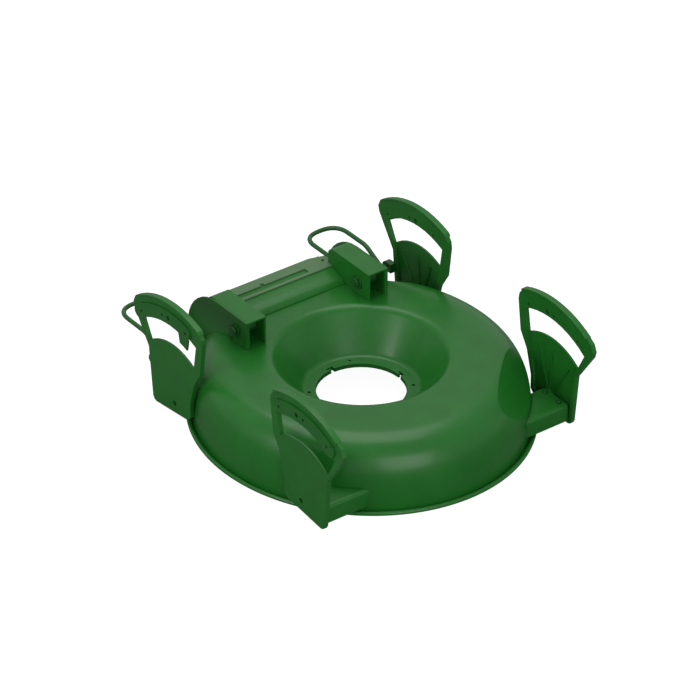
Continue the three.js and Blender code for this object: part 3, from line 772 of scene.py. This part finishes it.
@dataclass
class SectorCorner:
    """One height sector with its cap, index plate, stand-off arm and arm screws."""

    shop: PaintShop
    side: Side
    end: End
    cast_rounding: float = 1.1
    cap_rounding: float = 1.0
    plate_rounding: float = 0.6
    arm_rounding: float = 1.6
    screw_rounding: float = 0.7

    def build(self) -> None:
        """Builds, paints and hands in the pieces of one corner."""
        place = f"{self.end.word}_{self.side.word}"
        self.shop.finish_copies((
            (f"height_sector_{place}", "cast", self.cast_rounding, Slot.SECTOR),
            (f"sector_cap_{place}", "cast", self.cap_rounding, Slot.SECTOR),
            (f"index_plate_{place}", "stamped", self.plate_rounding, Slot.PLATE),
            (f"support_arm_{place}", "folded", self.arm_rounding, Slot.SECTOR),
            (f"arm_screw_{place}_1", "turned", self.screw_rounding, Slot.HARDWARE),
            (f"arm_screw_{place}_2", "turned", self.screw_rounding, Slot.HARDWARE),
        ))


@dataclass
class LiftBail:
    """One wire bail that folds up on its hinge, and the eye that takes its outer end."""

    shop: PaintShop
    side: Side
    wire_radius: float = 4.0
    leg_spacing: float = 70.0
    inner_x: float = 155.0
    knee: float = 44.0
    rise: float = 22.0
    bend: float = 9.0
    end_straight: float = 4.0
    bend_steps: int = 12
    wire_faces: int = 16
    eye_rounding: float = 1.2

    def corners(self) -> list[Vector]:
        """Gives the corners of the wire's middle line, in metres, from the inner end."""
        low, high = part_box(f"lift_bail_{self.side.word}")
        wire = self.wire_radius * MM
        hand = self.side.value
        inner = self.inner_x * MM
        outer = inner + self.leg_spacing * MM
        ends = sorted((abs(low.x), abs(high.x)))
        bottom = low.z + wire
        top = bottom + self.rise * MM
        back = high.y - wire
        hinge = low.y + wire
        bent = hinge + self.knee * MM
        across = (
            (ends[0], hinge, bottom), (inner, hinge, bottom), (inner, bent, top), (inner, back, top),
            (outer, back, top), (outer, bent, top), (outer, hinge, bottom), (ends[1], hinge, bottom),
        )
        return [Vector((hand * x, y, z)) for x, y, z in across]

    def middle_line(self) -> list[Vector]:
        """Gives the wire's middle line with its bends rounded, in metres."""
        corners = self.corners()
        wide = (self.leg_spacing - self.end_straight) / 2 * MM
        small = self.bend * MM
        reaches = (small, small, wide, wide, small, small)
        line = [corners[0]]
        for before, corner, after, reach in zip(corners, corners[1:], corners[2:], reaches):
            line += rounded_corner(before, corner, after, reach, self.bend_steps)
        line.append(corners[-1])
        return line

    def build_wire(self) -> bpy.types.Object:
        """Builds the bent wire.

        Returns:
            The finished bail.
        """
        piece = draw_path(f"bail_wire_{self.side.word}", self.middle_line())
        bpy.ops.object.mode_set(mode="OBJECT")
        activate(piece)
        bpy.ops.object.convert(target="CURVE")
        piece = bpy.context.object
        piece.data.bevel_depth = self.wire_radius * MM
        piece.data.bevel_resolution = self.wire_faces // 4
        piece.data.use_fill_caps = True
        bpy.ops.object.convert(target="MESH")
        piece = bpy.context.object
        edit(piece)
        bpy.ops.mesh.select_all(action="SELECT")
        bpy.ops.mesh.remove_doubles(threshold=FINE_WELD)
        bpy.ops.mesh.normals_make_consistent(inside=False)
        bpy.ops.object.mode_set(mode="OBJECT")
        shade(piece, angle=50)
        return piece

    def build(self) -> None:
        """Builds, paints and hands in the wire and its eye."""
        word = self.side.word
        wire = self.build_wire()
        self.shop.paint(wire, Slot.WIRE)
        hand_in(wire, f"lift_bail_{word}", Slot.WIRE, f"lift_bail_{word}")
        self.shop.finish_copies([(f"bail_eye_{word}", "cast", self.eye_rounding, Slot.HARDWARE)])


# ---- Studio ----


@dataclass(frozen=True)
class Lamp:
    """One square soft lamp: where it hangs, the length of its side, and its power in watts."""

    name: str
    place: tuple[float, float, float]
    side: float
    power: float


@dataclass
class Studio:
    """Camera, floor and soft light. Angles are in radians."""

    azimuth: float = -0.641
    elevation: float = 0.577
    distance: float = 8065.7
    aim: tuple[float, float, float] = (-23.0, 0.0, 133.8)
    lens: float = 257.1
    floor_size: float = 14000.0
    floor_drop: float = 0.4
    floor_glow: float = 0.95
    floor_tone: float = 0.2
    sky_strength: float = 0.62
    lamp_aim_height: float = 50.0
    lamps: tuple[Lamp, ...] = (
        Lamp("lamp_over", (300.0, 600.0, 2600.0), 1800.0, 25),
        Lamp("lamp_left", (-2400.0, -200.0, 1100.0), 800.0, 18),
        Lamp("lamp_front", (-600.0, -2600.0, 1000.0), 1600.0, 24),
    )

    def add_camera(self) -> None:
        """Adds the camera and makes it the scene's own."""
        low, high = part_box("rim_hoop")
        target = Vector(self.aim) * MM + Vector((0, (low.y + high.y) / 2, 0))
        back = Vector((
            math.sin(self.azimuth) * math.cos(self.elevation),
            -math.cos(self.azimuth) * math.cos(self.elevation),
            math.sin(self.elevation),
        ))
        data = bpy.data.cameras.new("studio_camera")
        data.lens = self.lens
        data.clip_end = 100.0
        camera = bpy.data.objects.new("studio_camera", data)
        bpy.context.scene.collection.objects.link(camera)
        camera.location = target + back * (self.distance * MM)
        camera.rotation_euler = back.to_track_quat("Z", "Y").to_euler()
        bpy.context.scene.camera = camera

    def add_floor(self) -> None:
        """Adds a plain pale floor under the deck."""
        deselect_all()
        bpy.ops.mesh.primitive_plane_add(size=self.floor_size * MM, location=(0, 0, -self.floor_drop * MM))
        floor = bpy.context.object
        floor.name = "studio_floor"
        bpy.ops.object.transform_apply(location=True, rotation=True, scale=True)
        material = bpy.data.materials.new("pale_floor")
        material.use_nodes = True
        shader = material.node_tree.nodes["Principled BSDF"]
        shader.inputs["Base Color"].default_value = (*(self.floor_tone,) * 3, 1)
        shader.inputs["Roughness"].default_value = 1.0
        shader.inputs["Specular IOR Level"].default_value = 0.0
        shader.inputs["Emission Color"].default_value = (1, 1, 1, 1)
        nodes, links = material.node_tree.nodes, material.node_tree.links
        seen = nodes.new("ShaderNodeLightPath")
        glow = nodes.new("ShaderNodeMath")
        glow.operation = "MULTIPLY"
        glow.inputs[1].default_value = self.floor_glow
        links.new(seen.outputs["Is Camera Ray"], glow.inputs[0])
        links.new(glow.outputs["Value"], shader.inputs["Emission Strength"])
        floor.data.materials.append(material)

    def add_lamp(self, lamp: Lamp) -> None:
        """Adds a lamp and points it at the deck.

        Args:
            lamp: The lamp to add.
        """
        data = bpy.data.lights.new(lamp.name, "AREA")
        data.shape = "SQUARE"
        data.size = lamp.side * MM
        data.energy = lamp.power
        hung = bpy.data.objects.new(lamp.name, data)
        bpy.context.scene.collection.objects.link(hung)
        place = Vector(lamp.place) * MM
        aim = Vector((0, 0, self.lamp_aim_height * MM))
        hung.location = place
        hung.rotation_euler = (place - aim).to_track_quat("Z", "Y").to_euler()

    def build(self) -> None:
        """Adds the camera, the floor, the lamps and the pale surroundings."""
        self.add_camera()
        self.add_floor()
        for lamp in self.lamps:
            self.add_lamp(lamp)
        world = bpy.data.worlds.new("studio_surroundings")
        world.use_nodes = True
        sky = world.node_tree.nodes["Background"]
        sky.inputs["Color"].default_value = (1, 1, 1, 1)
        sky.inputs["Strength"].default_value = self.sky_strength
        bpy.context.scene.world = world
        bpy.context.scene.view_settings.view_transform = "Standard"


def main() -> None:
    """Builds every sub-assembly in order."""
    logging.basicConfig(level=logging.INFO, format="%(name)s: %(message)s")
    Studio().build()
    shop = PaintShop()
    PressedShell(shop).build()
    RearBox(shop).build()
    for side in Side:
        HandleMount(shop, side).build()
        for end in End:
            SectorCorner(shop, side, end).build()
        LiftBail(shop, side).build()
    deselect_all()


if __name__ == "__main__":
    main()
